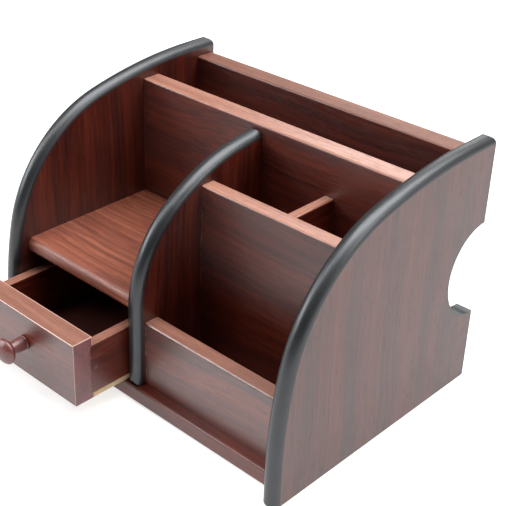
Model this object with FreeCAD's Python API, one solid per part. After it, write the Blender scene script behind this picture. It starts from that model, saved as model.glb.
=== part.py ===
"""Pen stand with drawer: a desk organizer of laminated boards with black edging.

Millimetres, +X to the right, +Y to the rear, +Z up. The origin is the centre of the
stand's bounding box at its bottom, with the drawer standing open as far as
DRAWER_OPEN_AT_REST. While it is being built, y = 0 is the front edge of the side
panels' boards; save() moves every piece into the final frame.
"""
import FreeCAD
import Part
import math
import os

# ---------------------------------------------------------------- driving sizes
OVERALL_WIDTH = 200.0          # over the outer faces of the two side panels
PANEL_T = 9.0                  # side panels and middle divider
BOARD_T = 9.0                  # thin cross boards
HEAVY_BOARD_T = 12.0           # tall partition and back rail

# side panel outline, from its bottom front corner
PANEL_DEPTH = 147.4            # front edge of the board to the outside of the rear band
PANEL_HEIGHT = 135.8           # without the edging
PANEL_SWEEP_R = 223.4          # long easy curve above the straight front
PANEL_SWEEP_DEG = 12.5
PANEL_SHOULDER_R = 77.8        # tight curve of the shoulder
PANEL_SHOULDER_DEG = 75.2      # slope reached at the end of the shoulder
PANEL_CROWN_R = 275.4          # long curve that runs out level
REAR_CORNER_R = 4.0            # rounding of the top rear corner, edging included
NOTCH_R = 26.0                 # half-round cut in the rear edge
NOTCH_CENTER_Z = 66.8
REAR_BAND_T = 0.8

# middle divider outline
DIVIDER_RIGHT_X = -2.0         # right face
DIVIDER_SETBACK = 9.4          # its front edge behind the side panels' front edge
DIVIDER_SHOULDER_START_Z = 53.5
DIVIDER_SHOULDER_R = 60.0
DIVIDER_SHOULDER_DEG = 53.0
DIVIDER_CROWN_R = 100.9
DIVIDER_CROWN_DEG = 82.0       # the top then runs straight at this slope

# edging
EDGING_BULGE = 4.1             # nearly a half-round over the board's thickness
EDGING_TONGUE_T = 1.6
EDGING_TONGUE_DEPTH = 6.0
EDGING_FOOT_GAP = 0.3          # edging ends this far above what is under it
EDGING_END_R = 2.8
KERF_EXTRA_DEPTH = 0.6

# cross boards
BASE_LIFT = 0.5                # underside of the base above the desk
BASE_SETBACK = 4.7
RAIL_TOP_DROP = 4.2            # below the top of the side panels' boards
RAIL_ABOVE_NOTCH = 2.2
TALL_FRONT_Y = 92.5
TALL_TOP_DROP = 6.7
PEN_FRONT_Y = 49.3
PEN_TOP_Z = 109.9
SLOT_DIVIDER_X = 40.6          # left face
SLOT_DIVIDER_T = 6.0
SLOT_DIVIDER_DROP = 4.7        # below the pen partition's top
FRONT_BOARD_INSET = 1.5        # behind the divider's front edge
FRONT_BOARD_TOP_Z = 46.6
SHELF_SETBACK = 7.8
SHELF_TOP_Z = 60.2
SHELF_NOSE_R = 3.6
HEAVY_EDGE_R = 1.2
THIN_EDGE_R = 1.2
BASE_EDGE_R = 1.2

# drawer
DRAWER_SIDE_GAP = 0.7          # between the box and each wall of its bay
DRAWER_FLOAT = 0.4             # under the drawer bottom
DRAWER_BACK_GAP = 1.0          # behind the closed drawer
DRAWER_OPEN_AT_REST = 35.3     # how far it stands open
DRAWER_FRONT_T = 12.0
DRAWER_FRONT_TOP_Z = 46.1
DRAWER_WALL_T = 5.5
DRAWER_WALL_DROP = 4.8         # top of the box below the top of its front
DRAWER_HOUSING_DEPTH = 1.6     # side boards let into the back of the front
DRAWER_BOTTOM_T = 3.0
DRAWER_BACK_DROP = 3.0         # top of the back board below the sides
DRAWER_EDGE_R = 0.8

# knob, turned about the drawer's axis of travel
KNOB_ABOVE_MIDDLE = 1.5        # its axis above the middle of the drawer front
KNOB_LENGTH = 16.0
KNOB_FOOT_R = 4.0
KNOB_FOOT_T = 1.3
KNOB_GROOVE_R = 3.2
KNOB_GROOVE_W = 0.6            # groove between the foot and the neck
KNOB_NECK_R = 3.8
KNOB_WAIST_R = 3.3
KNOB_WAIST_AT = 8.6            # from the drawer front to the waist behind the head
KNOB_HEAD_R = 6.7
KNOB_RIM_AT = 12.0             # from the drawer front to the widest circle of the head
KNOB_RIM_HALF_T = 0.9

# fasteners
DOWEL_R = 2.5
DOWEL_IN_PANEL = 6.0
DOWEL_IN_BOARD = 10.0
DOWEL_END_MARGIN = 12.0        # from a board's edge to its first dowel or screw
SMALL_DOWEL_R = 1.5
DOWEL_KERF_WALL = 0.8          # left between a dowel in the divider and the edging's tongue
BLIND_HOLE_SPARE = 0.4
FASTENER_FIT = 0.05            # round every dowel, screw, brad and tack
SCREW_R = 1.5
SCREW_HEAD_R = 3.0
SCREW_HEAD_H = 1.7
SCREW_BITE = 12.0              # length inside the upright board
RECESS_HALF_L = 1.5            # cross recess in the screw heads
RECESS_HALF_W = 0.35
RECESS_DEPTH = 1.0
KNOB_SCREW_R = 1.75
KNOB_SCREW_BITE = 9.0
KNOB_SCREW_HEAD_R = 3.6
KNOB_SCREW_HEAD_H = 2.2
BRAD_R = 0.55
BRAD_HEAD_R = 0.9
BRAD_HEAD_H = 0.5
BRAD_LENGTH = 14.0
BRAD_END_MARGIN = 7.0          # from a drawer wall's top or bottom to its first brad
CORNER_BRAD_SETBACK = 1.9      # head of the slanted brad behind the drawer front
CORNER_BRAD_DEG = 48.0         # its slant towards the front
CORNER_BRAD_LENGTH = 12.0
TACK_LENGTH = 10.0
TACKS_PER_SIDE = 3

# ---------------------------------------------------------------- derived places
LEFT_OUTER_X = -OVERALL_WIDTH / 2
RIGHT_OUTER_X = OVERALL_WIDTH / 2
LEFT_INNER_X = LEFT_OUTER_X + PANEL_T
RIGHT_INNER_X = RIGHT_OUTER_X - PANEL_T
DIVIDER_LEFT_X = DIVIDER_RIGHT_X - PANEL_T
BASE_TOP_Z = BASE_LIFT + BOARD_T
BOARD_REAR_Y = PANEL_DEPTH - REAR_BAND_T
RAIL_FRONT_Y = BOARD_REAR_Y - HEAVY_BOARD_T
RAIL_TOP_Z = PANEL_HEIGHT - RAIL_TOP_DROP
TRAY_FLOOR_Z = NOTCH_CENTER_Z + NOTCH_R + RAIL_ABOVE_NOTCH
TALL_REAR_Y = TALL_FRONT_Y + HEAVY_BOARD_T
TALL_TOP_Z = PANEL_HEIGHT - TALL_TOP_DROP
PEN_REAR_Y = PEN_FRONT_Y + BOARD_T
SLOT_DIVIDER_TOP_Z = PEN_TOP_Z - SLOT_DIVIDER_DROP
FRONT_BOARD_Y = DIVIDER_SETBACK + FRONT_BOARD_INSET
SHELF_BOTTOM_Z = SHELF_TOP_Z - BOARD_T

DRAWER_LEFT_X = LEFT_INNER_X + DRAWER_SIDE_GAP
DRAWER_RIGHT_X = DIVIDER_LEFT_X - DRAWER_SIDE_GAP
DRAWER_CENTER_X = (DRAWER_LEFT_X + DRAWER_RIGHT_X) / 2
DRAWER_FACE_Y = SHELF_SETBACK - DRAWER_OPEN_AT_REST
DRAWER_FRONT_BACK_Y = DRAWER_FACE_Y + DRAWER_FRONT_T
DRAWER_HOUSING_Y = DRAWER_FRONT_BACK_Y - DRAWER_HOUSING_DEPTH
DRAWER_REAR_Y = TALL_FRONT_Y - DRAWER_BACK_GAP - DRAWER_OPEN_AT_REST
DRAWER_BACK_Y = DRAWER_REAR_Y - DRAWER_WALL_T
DRAWER_BOTTOM_Z = BASE_TOP_Z + DRAWER_FLOAT
DRAWER_WALL_Z = DRAWER_BOTTOM_Z + DRAWER_BOTTOM_T
DRAWER_WALL_TOP_Z = DRAWER_FRONT_TOP_Z - DRAWER_WALL_DROP
DRAWER_BACK_TOP_Z = DRAWER_WALL_TOP_Z - DRAWER_BACK_DROP
KNOB_Z = (DRAWER_BOTTOM_Z + DRAWER_FRONT_TOP_Z) / 2 + KNOB_ABOVE_MIDDLE
KNOB_TIP_Y = DRAWER_FACE_Y - KNOB_LENGTH

STAND_FRONT_Y = min(KNOB_TIP_Y, -EDGING_BULGE)
STAND_CENTER_Y = (STAND_FRONT_Y + PANEL_DEPTH) / 2

X_AXIS = FreeCAD.Vector(1, 0, 0)
Y_AXIS = FreeCAD.Vector(0, 1, 0)
Z_AXIS = FreeCAD.Vector(0, 0, 1)


# ---------------------------------------------------------------- helpers
def block(x0, x1, y0, y1, z0, z1):
    """A box from its low and high corner coordinates."""
    return Part.makeBox(x1 - x0, y1 - y0, z1 - z0, FreeCAD.Vector(x0, y0, z0))


def rod(radius, start, direction, length):
    """A cylinder from a start point along a direction."""
    return Part.makeCylinder(radius, length, FreeCAD.Vector(*start), direction)


def round_edges(shape, radius, wanted):
    """Fillet the straight edges whose middle point satisfies wanted(x, y, z)."""
    edges = []
    for edge in shape.Edges:
        middle = edge.CenterOfMass
        if wanted(middle.x, middle.y, middle.z):
            edges.append(edge)
    return shape.makeFillet(radius, edges)


def near(value, target):
    """True when two coordinates are the same place."""
    return abs(value - target) < 0.01


def rounded_board(x0, x1, y0, y1, z0, z1, radius):
    """An upright cross board with both long top edges rounded."""
    board = block(x0, x1, y0, y1, z0, z1)
    middle_x = (x0 + x1) / 2
    return round_edges(board, radius, lambda x, y, z: near(z, z1) and near(x, middle_x))


def group(shapes):
    """Separate solids kept together in one node."""
    return Part.makeCompound(shapes)


def save(name, shape):
    """Move a piece into the final frame and write its STEP file."""
    placed = shape.copy()
    placed.translate(FreeCAD.Vector(0, -STAND_CENTER_Y, 0))
    placed.exportStep("parts/" + name + ".step")


# ---------------------------------------------------------------- curved outlines
class Outline:
    """A run of lines and arcs in the YZ plane, climbing from the front edge.

    It starts straight up and each arc turns it towards the rear. An inset moves the
    whole run inwards, towards the rear and down, with the arcs kept concentric.
    """

    def __init__(self, y, z, inset):
        self.y = y + inset
        self.z = z
        self.inset = inset
        self.slope = 0.0
        self.edges = []

    def _point(self):
        return FreeCAD.Vector(0, self.y, self.z)

    def _at(self, center_y, center_z, radius, slope):
        return FreeCAD.Vector(0, center_y - radius * math.cos(slope), center_z + radius * math.sin(slope))

    def line(self, length):
        """Go straight on."""
        start = self._point()
        self.y += length * math.sin(self.slope)
        self.z += length * math.cos(self.slope)
        self.edges.append(Part.makeLine(start, self._point()))

    def line_to_y(self, y):
        """Go straight on to a given y."""
        self.line((y - self.y) / math.sin(self.slope))

    def arc(self, radius, slope_degrees):
        """Turn towards the rear until the slope from upright reaches slope_degrees."""
        kept = radius - self.inset
        center_y = self.y + kept * math.cos(self.slope)
        center_z = self.z - kept * math.sin(self.slope)
        start = self._point()
        end_slope = math.radians(slope_degrees)
        middle = self._at(center_y, center_z, kept, (self.slope + end_slope) / 2)
        end = self._at(center_y, center_z, kept, end_slope)
        self.edges.append(Part.Arc(start, middle, end).toShape())
        self.slope = end_slope
        self.y = end.y
        self.z = end.z

    def wire(self):
        """The open run as one wire."""
        return Part.Wire(self.edges)

    def slab(self, rear_y, bottom_z, x0, thickness):
        """The area under the run, down to bottom_z and back to rear_y, made thick along X."""
        start = self.edges[0].Vertexes[0].Point
        end = self._point()
        corners = [end]
        if rear_y - end.y > 0.001:
            corners.append(FreeCAD.Vector(0, rear_y, end.z))
        corners.append(FreeCAD.Vector(0, rear_y, bottom_z))
        if start.y < rear_y and start.z - bottom_z > 0.001:
            corners.append(FreeCAD.Vector(0, start.y, bottom_z))
        corners.append(start)
        closing = [Part.makeLine(a, b) for a, b in zip(corners, corners[1:])]
        face = Part.Face(Part.Wire(self.edges + closing))
        solid = face.extrude(FreeCAD.Vector(thickness, 0, 0))
        solid.translate(FreeCAD.Vector(x0, 0, 0))
        return solid


def panel_front_straight():
    """Height of the side panel's straight front, under its three curves."""
    sweep = math.radians(PANEL_SWEEP_DEG)
    shoulder = math.radians(PANEL_SHOULDER_DEG)
    rise = PANEL_SWEEP_R * math.sin(sweep)
    rise += PANEL_SHOULDER_R * (math.sin(shoulder) - math.sin(sweep))
    rise += PANEL_CROWN_R * (1 - math.sin(shoulder))
    return PANEL_HEIGHT - rise


def panel_outline(inset, bottom_z):
    """Side panel's curved front and top, from bottom_z to the rear edge."""
    run = Outline(0, bottom_z, inset)
    run.line(panel_front_straight() - bottom_z)
    run.arc(PANEL_SWEEP_R, PANEL_SWEEP_DEG)
    run.arc(PANEL_SHOULDER_R, PANEL_SHOULDER_DEG)
    run.arc(PANEL_CROWN_R, 90)
    run.line_to_y(PANEL_DEPTH)
    return run


def divider_outline(inset, bottom_z):
    """Middle divider's curved front and top, from bottom_z to the tall partition."""
    run = Outline(DIVIDER_SETBACK, bottom_z, inset)
    run.line(DIVIDER_SHOULDER_START_Z - bottom_z)
    run.arc(DIVIDER_SHOULDER_R, DIVIDER_SHOULDER_DEG)
    run.arc(DIVIDER_CROWN_R, DIVIDER_CROWN_DEG)
    run.line_to_y(TALL_FRONT_Y)
    return run


# ---------------------------------------------------------------- edging
def edging_cap(run, center_x):
    """The domed strip: a shallow circular segment swept along the outline."""
    half = PANEL_T / 2
    start = run.edges[0].Vertexes[0].Point
    left = FreeCAD.Vector(center_x - half, start.y, start.z)
    right = FreeCAD.Vector(center_x + half, start.y, start.z)
    crown = FreeCAD.Vector(center_x, start.y - EDGING_BULGE, start.z)
    dome = Part.Arc(left, crown, right).toShape()
    section = Part.Wire([dome, Part.makeLine(right, left)])
    path = run.wire()
    path.translate(FreeCAD.Vector(center_x, 0, 0))
    return path.makePipeShell([section], True, False)


def tongue(outline, bottom_z, rear_y, center_x, depth, thickness):
    """The band between an outline and the same outline moved in by depth."""
    x0 = center_x - thickness / 2
    outer = outline(0, bottom_z).slab(rear_y, bottom_z, x0, thickness)
    inner = outline(depth, bottom_z).slab(rear_y, bottom_z, x0, thickness)
    return outer.cut(inner)


def end_rounding(x0, x1, y0, y1, z0, z1, radius, wanted):
    """A block around an edging with one end edge rounded; a strip is kept inside it."""
    envelope = block(x0, x1, y0, y1, z0, z1)
    return round_edges(envelope, radius, wanted)


def side_envelope(center_x):
    """Keeps a side panel and its edging inside the rounded top rear corner."""
    top_z = PANEL_HEIGHT + EDGING_BULGE
    corner = lambda x, y, z: near(y, PANEL_DEPTH) and near(z, top_z)
    return end_rounding(center_x - PANEL_T, center_x + PANEL_T, -PANEL_T, PANEL_DEPTH, 0, top_z,
                        REAR_CORNER_R, corner)


def side_edging(center_x):
    """Edging of a side panel: domed cap with its tongue, in one extruded strip."""
    run = panel_outline(0, EDGING_FOOT_GAP)
    cap = edging_cap(run, center_x)
    band = tongue(panel_outline, EDGING_FOOT_GAP, PANEL_DEPTH, center_x, EDGING_TONGUE_DEPTH,
                  EDGING_TONGUE_T)
    strip = cap.fuse(band).common(side_envelope(center_x))
    return strip.removeSplitter()


def divider_edging():
    """Edging of the middle divider, rounded off at its foot and at its rear end."""
    center_x = DIVIDER_RIGHT_X - PANEL_T / 2
    foot_z = BASE_TOP_Z + EDGING_FOOT_GAP
    run = divider_outline(0, foot_z)
    cap = edging_cap(run, center_x)
    band = tongue(divider_outline, foot_z, TALL_FRONT_Y, center_x, EDGING_TONGUE_DEPTH, EDGING_TONGUE_T)
    front_y = DIVIDER_SETBACK - EDGING_BULGE
    top_z = run.z + EDGING_BULGE
    foot = lambda x, y, z: near(y, front_y) and near(z, foot_z)
    tip = lambda x, y, z: near(y, TALL_FRONT_Y) and near(z, top_z)
    envelope = end_rounding(center_x - PANEL_T, center_x + PANEL_T, front_y, TALL_FRONT_Y, foot_z, top_z,
                            EDGING_END_R, lambda x, y, z: foot(x, y, z) or tip(x, y, z))
    return cap.fuse(band).common(envelope).removeSplitter()


# ---------------------------------------------------------------- panels
def notch(radius):
    """The half-round cutter for a side panel's rear edge, long enough for both panels."""
    start = (LEFT_OUTER_X - PANEL_T, PANEL_DEPTH, NOTCH_CENTER_Z)
    return rod(radius, start, X_AXIS, OVERALL_WIDTH + 2 * PANEL_T)


def side_body(outer_x, depth, notch_radius):
    """Side panel outline back to a given depth, with its notch."""
    run = panel_outline(0, 0)
    slab = run.slab(PANEL_DEPTH, 0, outer_x, PANEL_T)
    slab = slab.common(side_envelope(outer_x + PANEL_T / 2))
    rear = block(outer_x - 1, outer_x + PANEL_T + 1, depth, PANEL_DEPTH + 1, -1, PANEL_HEIGHT + 1)
    return slab.cut(rear).cut(notch(notch_radius))


def side_panel(outer_x):
    """Side panel board with the kerf for its edging's tongue."""
    board = side_body(outer_x, BOARD_REAR_Y, NOTCH_R + REAR_BAND_T)
    kerf = tongue(panel_outline, 0, PANEL_DEPTH, outer_x + PANEL_T / 2,
                  EDGING_TONGUE_DEPTH + KERF_EXTRA_DEPTH, EDGING_TONGUE_T)
    return board.cut(kerf)


def rear_band(outer_x, edging):
    """Thin black band glued along a side panel's rear edge and round its notch."""
    whole = side_body(outer_x, PANEL_DEPTH, NOTCH_R)
    board = side_body(outer_x, BOARD_REAR_Y, NOTCH_R + REAR_BAND_T)
    foot = block(outer_x - 1, outer_x + PANEL_T + 1, BOARD_REAR_Y - 1, PANEL_DEPTH + 1, -1, EDGING_FOOT_GAP)
    return whole.cut(board).cut(foot).cut(edging)


def middle_divider():
    """Divider between the drawer bay and the pen bays, with its kerf."""
    center_x = DIVIDER_RIGHT_X - PANEL_T / 2
    run = divider_outline(0, BASE_TOP_Z)
    board = run.slab(TALL_FRONT_Y, BASE_TOP_Z, DIVIDER_LEFT_X, PANEL_T)
    kerf = tongue(divider_outline, BASE_TOP_Z, TALL_FRONT_Y, center_x,
                  EDGING_TONGUE_DEPTH + KERF_EXTRA_DEPTH, EDGING_TONGUE_T)
    return board.cut(kerf)


# ---------------------------------------------------------------- cross boards
def base_board():
    """Bottom board across the whole stand, front edge eased."""
    board = block(LEFT_INNER_X, RIGHT_INNER_X, BASE_SETBACK, BOARD_REAR_Y, BASE_LIFT, BASE_TOP_Z)
    return round_edges(board, BASE_EDGE_R, lambda x, y, z: near(y, BASE_SETBACK) and near(x, 0))


def back_rail():
    """Upper back board, above the notches."""
    return rounded_board(LEFT_INNER_X, RIGHT_INNER_X, RAIL_FRONT_Y, BOARD_REAR_Y, TRAY_FLOOR_Z, RAIL_TOP_Z,
                         HEAVY_EDGE_R)


def tall_partition():
    """Full-width upright board between the pen bays and the rear tray."""
    return rounded_board(LEFT_INNER_X, RIGHT_INNER_X, TALL_FRONT_Y, TALL_REAR_Y, BASE_TOP_Z, TALL_TOP_Z,
                         HEAVY_EDGE_R)


def rear_tray_floor():
    """Floor of the rear tray, between the tall partition and the back rail."""
    return block(LEFT_INNER_X, RIGHT_INNER_X, TALL_REAR_Y, RAIL_FRONT_Y, TRAY_FLOOR_Z,
                 TRAY_FLOOR_Z + BOARD_T)


def pen_partition():
    """Upright board in front of the pen bays."""
    return rounded_board(DIVIDER_RIGHT_X, RIGHT_INNER_X, PEN_FRONT_Y, PEN_REAR_Y, BASE_TOP_Z, PEN_TOP_Z,
                         THIN_EDGE_R)


def front_board():
    """Low board in front of the card bay."""
    return rounded_board(DIVIDER_RIGHT_X, RIGHT_INNER_X, FRONT_BOARD_Y, FRONT_BOARD_Y + BOARD_T, BASE_TOP_Z,
                         FRONT_BOARD_TOP_Z, THIN_EDGE_R)


def pen_slot_divider():
    """Short thinner board that splits the pen bay in two, its long top edges rounded."""
    board = block(SLOT_DIVIDER_X, SLOT_DIVIDER_X + SLOT_DIVIDER_T, PEN_REAR_Y, TALL_FRONT_Y, BASE_TOP_Z,
                  SLOT_DIVIDER_TOP_Z)
    middle_y = (PEN_REAR_Y + TALL_FRONT_Y) / 2
    return round_edges(board, THIN_EDGE_R, lambda x, y, z: near(z, SLOT_DIVIDER_TOP_Z) and near(y, middle_y))


def drawer_shelf():
    """Shelf over the drawer, with a rounded nose."""
    board = block(LEFT_INNER_X, DIVIDER_LEFT_X, SHELF_SETBACK, TALL_FRONT_Y, SHELF_BOTTOM_Z, SHELF_TOP_Z)
    middle_x = (LEFT_INNER_X + DIVIDER_LEFT_X) / 2
    return round_edges(board, SHELF_NOSE_R, lambda x, y, z: near(y, SHELF_SETBACK) and near(x, middle_x))


# ---------------------------------------------------------------- drawer
def drawer_front():
    """Front board, with a housing at each end of its back for the side boards."""
    board = block(DRAWER_LEFT_X, DRAWER_RIGHT_X, DRAWER_FACE_Y, DRAWER_FRONT_BACK_Y, DRAWER_BOTTOM_Z,
                  DRAWER_FRONT_TOP_Z)
    board = round_edges(board, DRAWER_EDGE_R, lambda x, y, z: near(y, DRAWER_FACE_Y))
    for x0 in (DRAWER_LEFT_X, DRAWER_RIGHT_X - DRAWER_WALL_T):
        board = board.cut(block(x0, x0 + DRAWER_WALL_T, DRAWER_HOUSING_Y, DRAWER_FRONT_BACK_Y,
                                DRAWER_WALL_Z, DRAWER_WALL_TOP_Z))
    hole_start = (DRAWER_CENTER_X, DRAWER_FACE_Y, KNOB_Z)
    return board.cut(rod(KNOB_SCREW_R + FASTENER_FIT, hole_start, Y_AXIS, DRAWER_FRONT_T))


def drawer_side(x0):
    """Side board of the drawer, let into the front's housing."""
    return block(x0, x0 + DRAWER_WALL_T, DRAWER_HOUSING_Y, DRAWER_REAR_Y, DRAWER_WALL_Z, DRAWER_WALL_TOP_Z)


def drawer_back():
    """Back board of the drawer, between its sides."""
    return block(DRAWER_LEFT_X + DRAWER_WALL_T, DRAWER_RIGHT_X - DRAWER_WALL_T, DRAWER_BACK_Y,
                 DRAWER_REAR_Y, DRAWER_WALL_Z, DRAWER_BACK_TOP_Z)


def drawer_bottom():
    """Thin bottom under the side and back boards, behind the front."""
    return block(DRAWER_LEFT_X, DRAWER_RIGHT_X, DRAWER_FRONT_BACK_Y, DRAWER_REAR_Y, DRAWER_BOTTOM_Z,
                 DRAWER_WALL_Z)


def drawer_knob():
    """Turned knob: round-edged foot, groove, neck, waist, and a disc head with a domed face."""
    def at(radius, distance):
        return FreeCAD.Vector(radius, -distance, 0)

    rim_back = KNOB_RIM_AT - KNOB_RIM_HALF_T
    rim_front = KNOB_RIM_AT + KNOB_RIM_HALF_T
    foot_flat_r = KNOB_FOOT_R - KNOB_FOOT_T / 2
    foot = Part.Arc(at(foot_flat_r, 0), at(KNOB_FOOT_R, KNOB_FOOT_T / 2), at(foot_flat_r, KNOB_FOOT_T))
    neck_at = KNOB_FOOT_T + KNOB_GROOVE_W
    groove = Part.makePolygon([at(foot_flat_r, KNOB_FOOT_T), at(KNOB_GROOVE_R, KNOB_FOOT_T),
                               at(KNOB_GROOVE_R, neck_at), at(KNOB_NECK_R, neck_at)])
    neck_middle = at((2 * KNOB_NECK_R + KNOB_WAIST_R) / 3, (neck_at + KNOB_WAIST_AT) / 2)
    neck = Part.Arc(at(KNOB_NECK_R, neck_at), neck_middle, at(KNOB_WAIST_R, KNOB_WAIST_AT))
    rise = at((KNOB_WAIST_R + KNOB_HEAD_R) / 2, KNOB_WAIST_AT + (rim_back - KNOB_WAIST_AT) / 3)
    flare = Part.Arc(at(KNOB_WAIST_R, KNOB_WAIST_AT), rise, at(KNOB_HEAD_R, rim_back))
    rim = Part.Arc(at(KNOB_HEAD_R, rim_back), at(KNOB_HEAD_R + KNOB_RIM_HALF_T / 3, KNOB_RIM_AT),
                   at(KNOB_HEAD_R, rim_front))
    dome_rise = KNOB_LENGTH - rim_front
    dome_r = (KNOB_HEAD_R ** 2 + dome_rise ** 2) / (2 * dome_rise)
    half_angle = math.asin(KNOB_HEAD_R / dome_r) / 2
    dome_middle = at(dome_r * math.sin(half_angle), KNOB_LENGTH - dome_r * (1 - math.cos(half_angle)))
    dome = Part.Arc(at(KNOB_HEAD_R, rim_front), dome_middle, at(0, KNOB_LENGTH))
    axis = [Part.makeLine(at(0, KNOB_LENGTH), at(0, 0)), Part.makeLine(at(0, 0), at(foot_flat_r, 0))]
    edges = [foot.toShape()] + groove.Edges
    edges += [neck.toShape(), flare.toShape(), rim.toShape(), dome.toShape()] + axis
    body = Part.Face(Part.Wire(edges)).revolve(FreeCAD.Vector(0, 0, 0), Y_AXIS, 360)
    body.translate(FreeCAD.Vector(DRAWER_CENTER_X, DRAWER_FACE_Y, KNOB_Z))
    pilot_depth = KNOB_SCREW_BITE + BLIND_HOLE_SPARE
    pilot_start = (DRAWER_CENTER_X, DRAWER_FACE_Y - pilot_depth, KNOB_Z)
    return body.cut(rod(KNOB_SCREW_R + FASTENER_FIT, pilot_start, Y_AXIS, pilot_depth))


# ---------------------------------------------------------------- fasteners
def cross_recess(x, y, z):
    """A plus-shaped cutter that stands RECESS_DEPTH up from the point."""
    along_x = block(x - RECESS_HALF_L, x + RECESS_HALF_L, y - RECESS_HALF_W, y + RECESS_HALF_W, z,
                    z + RECESS_DEPTH)
    along_y = block(x - RECESS_HALF_W, x + RECESS_HALF_W, y - RECESS_HALF_L, y + RECESS_HALF_L, z,
                    z + RECESS_DEPTH)
    return along_x.fuse(along_y)


def base_screw(x, y, fit):
    """Countersunk screw up through the base into an upright board, grown by a fit all round."""
    head = Part.makeCone(SCREW_HEAD_R + fit, SCREW_R + fit, SCREW_HEAD_H, FreeCAD.Vector(x, y, BASE_LIFT))
    shank = rod(SCREW_R + fit, (x, y, BASE_LIFT), Z_AXIS, BOARD_T + SCREW_BITE + fit)
    return head.fuse(shank).removeSplitter()


def base_screw_places():
    """Screws under every upright board, clear of the dowels at the boards' ends."""
    tall_y = TALL_FRONT_Y + HEAVY_BOARD_T / 2
    long_board_ys = (tall_y, PEN_FRONT_Y + BOARD_T / 2, FRONT_BOARD_Y + BOARD_T / 2)
    bay_width = RIGHT_INNER_X - DIVIDER_RIGHT_X
    bay_xs = [DIVIDER_RIGHT_X + bay_width / 4, RIGHT_INNER_X - bay_width / 4]
    places = [(x, y) for y in long_board_ys for x in bay_xs]
    places.append(((LEFT_INNER_X + DIVIDER_LEFT_X) / 2, tall_y))
    places.append((SLOT_DIVIDER_X + SLOT_DIVIDER_T / 2, (PEN_REAR_Y + TALL_FRONT_Y) / 2))
    divider_x = DIVIDER_RIGHT_X - PANEL_T / 2
    places.append((divider_x, DIVIDER_SETBACK + EDGING_TONGUE_DEPTH + DOWEL_END_MARGIN))
    places.append((divider_x, TALL_FRONT_Y - DOWEL_IN_BOARD - DOWEL_END_MARGIN))
    return places


def dowel_x(face_x, y, z, into_panel):
    """A dowel along X at a panel face; into_panel is -1 or +1, the way into the panel."""
    start_x = face_x - DOWEL_IN_BOARD if into_panel > 0 else face_x - DOWEL_IN_PANEL
    return (DOWEL_R, (start_x, y, z), X_AXIS, DOWEL_IN_PANEL + DOWEL_IN_BOARD)


def upright_pair(y, z0, z1):
    """Two dowel places in the end of an upright board."""
    return [(y, z0 + DOWEL_END_MARGIN), (y, z1 - DOWEL_END_MARGIN)]


def flat_pair(z, y0, y1):
    """Two dowel places in the end of a flat board."""
    return [(y0 + DOWEL_END_MARGIN, z), (y1 - DOWEL_END_MARGIN, z)]


def shared_side_places():
    """Dowel places that both side panels have: base, tall partition, tray floor and rail."""
    tray_y = (TALL_REAR_Y + RAIL_FRONT_Y) / 2
    rail_y = RAIL_FRONT_Y + HEAVY_BOARD_T / 2
    places = flat_pair(BASE_LIFT + BOARD_T / 2, BASE_SETBACK + DOWEL_END_MARGIN, BOARD_REAR_Y)
    places += upright_pair(TALL_FRONT_Y + HEAVY_BOARD_T / 2, BASE_TOP_Z, TALL_TOP_Z)
    places.append((tray_y, TRAY_FLOOR_Z + BOARD_T / 2))
    places.append((rail_y, (TRAY_FLOOR_Z + RAIL_TOP_Z) / 2))
    return places


def shelf_places():
    """Dowel places in the shelf's ends."""
    return flat_pair(SHELF_TOP_Z - BOARD_T / 2, SHELF_SETBACK + DOWEL_END_MARGIN, TALL_FRONT_Y)


def right_bay_places():
    """Dowel places in the ends of the pen partition and the front board."""
    places = upright_pair(PEN_FRONT_Y + BOARD_T / 2, BASE_TOP_Z, PEN_TOP_Z)
    return places + upright_pair(FRONT_BOARD_Y + BOARD_T / 2, BASE_TOP_Z, FRONT_BOARD_TOP_Z)


def left_dowel_list():
    """Dowels between the left panel and its boards."""
    return [dowel_x(LEFT_INNER_X, y, z, -1) for y, z in shared_side_places() + shelf_places()]


def right_dowel_list():
    """Dowels between the right panel and its boards."""
    return [dowel_x(RIGHT_INNER_X, y, z, 1) for y, z in shared_side_places() + right_bay_places()]


def divider_dowel_list():
    """Thin dowels in the divider's faces for the boards that butt against it, clear of its kerf."""
    bite = (PANEL_T - EDGING_TONGUE_T) / 2 - DOWEL_KERF_WALL
    starts = [(DIVIDER_RIGHT_X - bite, y, z) for y, z in right_bay_places()]
    starts += [(DIVIDER_LEFT_X - DOWEL_IN_BOARD, y, z) for y, z in shelf_places()]
    return [(SMALL_DOWEL_R, start, X_AXIS, bite + DOWEL_IN_BOARD) for start in starts]


def rear_joint_dowel_list():
    """Dowels along Y in both ends of the slot divider and in the rear end of the middle divider."""
    slot_x = SLOT_DIVIDER_X + SLOT_DIVIDER_T / 2
    divider_x = DIVIDER_RIGHT_X - PANEL_T / 2
    length = DOWEL_IN_PANEL + DOWEL_IN_BOARD
    dowels = []
    for y, z in upright_pair(TALL_FRONT_Y, BASE_TOP_Z, SLOT_DIVIDER_TOP_Z):
        dowels.append((SMALL_DOWEL_R, (slot_x, y - DOWEL_IN_BOARD, z), Y_AXIS, length))
        dowels.append((SMALL_DOWEL_R, (slot_x, PEN_REAR_Y - DOWEL_IN_PANEL, z), Y_AXIS, length))
        dowels.append((SMALL_DOWEL_R, (divider_x, y - DOWEL_IN_BOARD, z), Y_AXIS, length))
    return dowels


def pins(dowels):
    """Solid dowels from a dowel list."""
    return [rod(radius, start, direction, length) for radius, start, direction, length in dowels]


def pin_holes(dowels):
    """Blind holes for a dowel list, a little longer than the dowels at both ends."""
    holes = []
    for radius, start, direction, length in dowels:
        begin = FreeCAD.Vector(*start) - direction * BLIND_HOLE_SPARE
        holes.append(rod(radius + FASTENER_FIT, (begin.x, begin.y, begin.z), direction,
                         length + 2 * BLIND_HOLE_SPARE))
    return holes


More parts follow.
